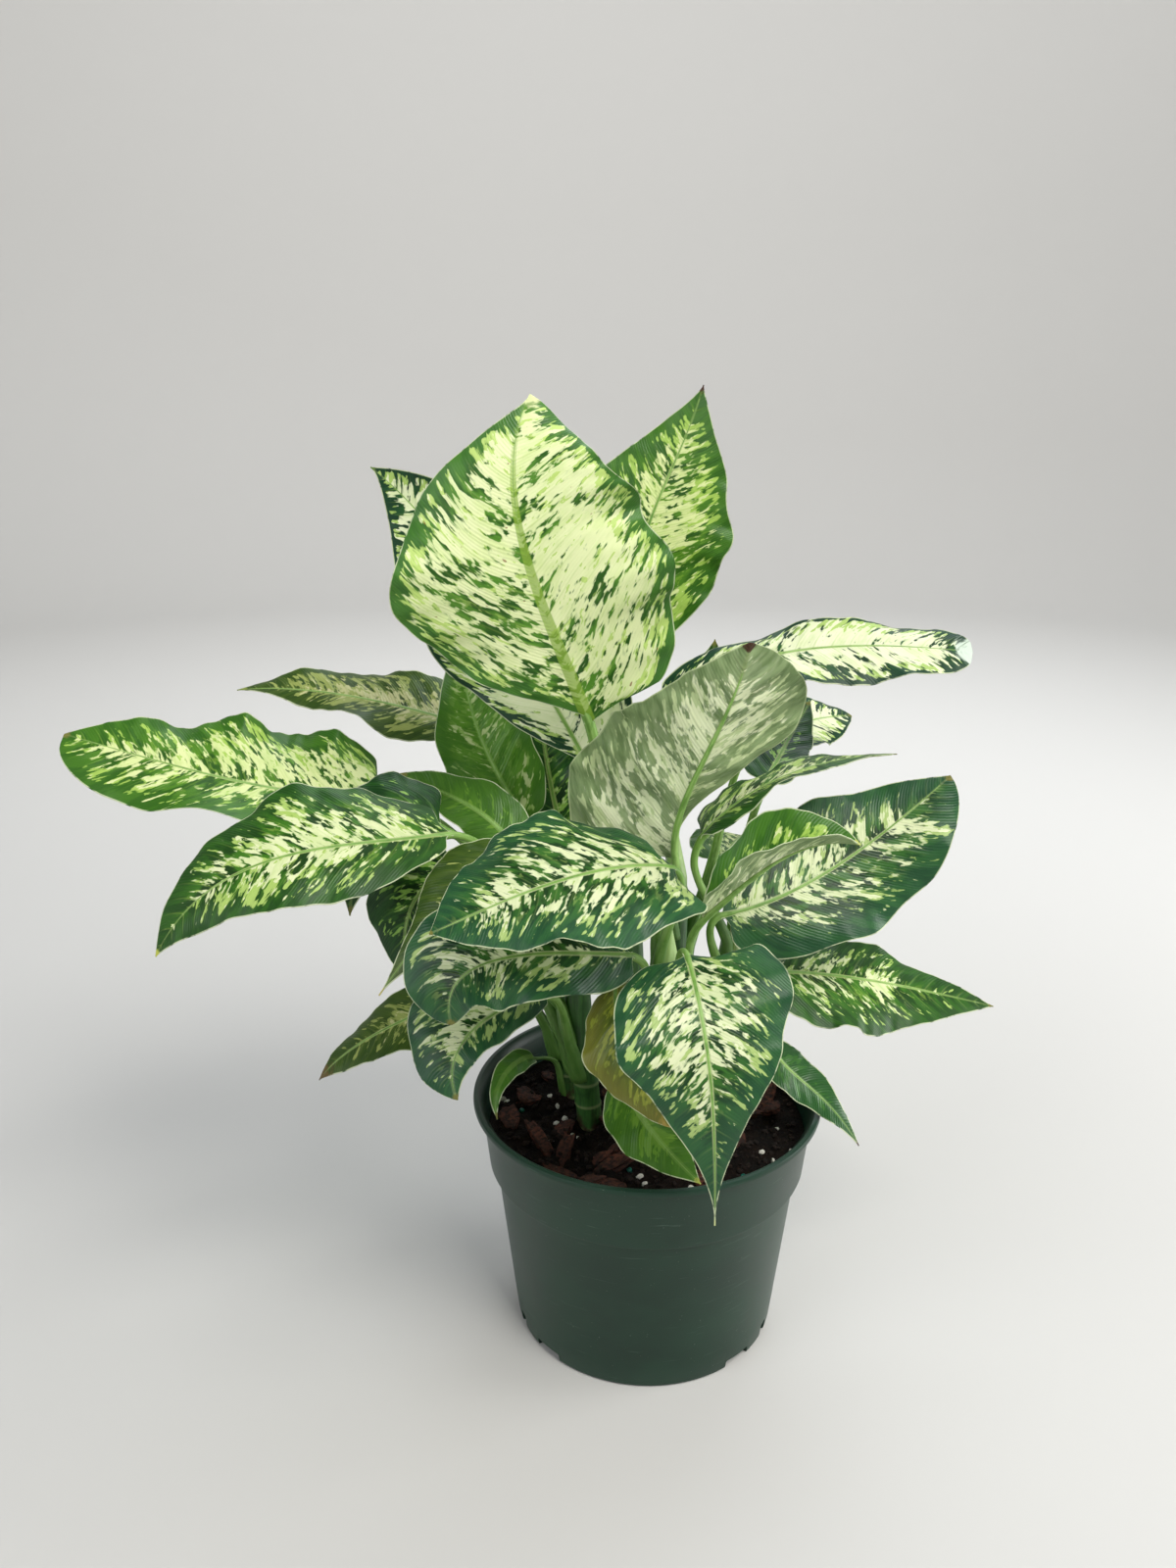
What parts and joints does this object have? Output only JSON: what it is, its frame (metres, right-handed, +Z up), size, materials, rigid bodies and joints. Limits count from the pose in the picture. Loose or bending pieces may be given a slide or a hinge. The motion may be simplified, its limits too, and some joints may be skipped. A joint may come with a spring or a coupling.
{
  "type": "potted dieffenbachia",
  "caption": "Bushy dieffenbachia with broad, wavy, cream-mottled leaves on long leaf stalks, in a round nursery pot of dark green plastic.",
  "frame": {"origin": "middle of the pot's underside, on the surface that the pot stands on", "axes": "+Z up along the pot's axis, -Y towards the plant's fullest side, +X to the right seen from there"},
  "size_m": [0.4242, 0.268, 0.4381],
  "materials": {
    "pot_plastic": "satin",
    "potting_soil": "rough",
    "cane": "satin",
    "leaf_variegated": "satin",
    "leaf_green": "satin",
    "leaf_yellowing": "satin"
  },
  "bodies": {
    "root": {"pot": "pot_plastic", "soil": "potting_soil", "cane_left": "cane", "cane_side": "cane", "cane_centre": "cane", "cane_front": "cane", "cane_right": "cane", "cane_back": "cane", "leaf_top_front": "leaf_variegated", "leaf_top_left": "leaf_variegated", "leaf_top_right": "leaf_variegated", "leaf_left_high": "leaf_variegated", "leaf_left_far": "leaf_variegated", "leaf_left_near": "leaf_variegated", "leaf_left_mid": "leaf_variegated", "leaf_centre_left": "leaf_green", "leaf_low_left_a": "leaf_variegated", "leaf_left_olive": "leaf_variegated", "leaf_front_centre": "leaf_variegated", "leaf_front_under": "leaf_variegated", "leaf_low_left": "leaf_variegated", "leaf_low_left_back": "leaf_variegated", "leaf_small_pot": "leaf_green", "leaf_front_low": "leaf_variegated", "leaf_yellowing": "leaf_yellowing", "leaf_low_small": "leaf_green", "leaf_low_right": "leaf_green", "leaf_right_low": "leaf_variegated", "leaf_right_big": "leaf_variegated", "leaf_right_curl": "leaf_variegated", "leaf_right_high": "leaf_variegated", "leaf_front_underside": "leaf_variegated", "leaf_right_dark": "leaf_variegated", "leaf_right_back": "leaf_variegated", "leaf_right_edge_on": "leaf_variegated", "leaf_centre_plain": "leaf_green", "leaf_centre_dark": "leaf_variegated", "leaf_back_tip": "leaf_variegated", "leaf_rear_left": "leaf_variegated", "leaf_rear_centre": "leaf_variegated", "leaf_rear_right": "leaf_variegated", "leaf_rear_low": "leaf_variegated"}
  },
  "joints": []
}
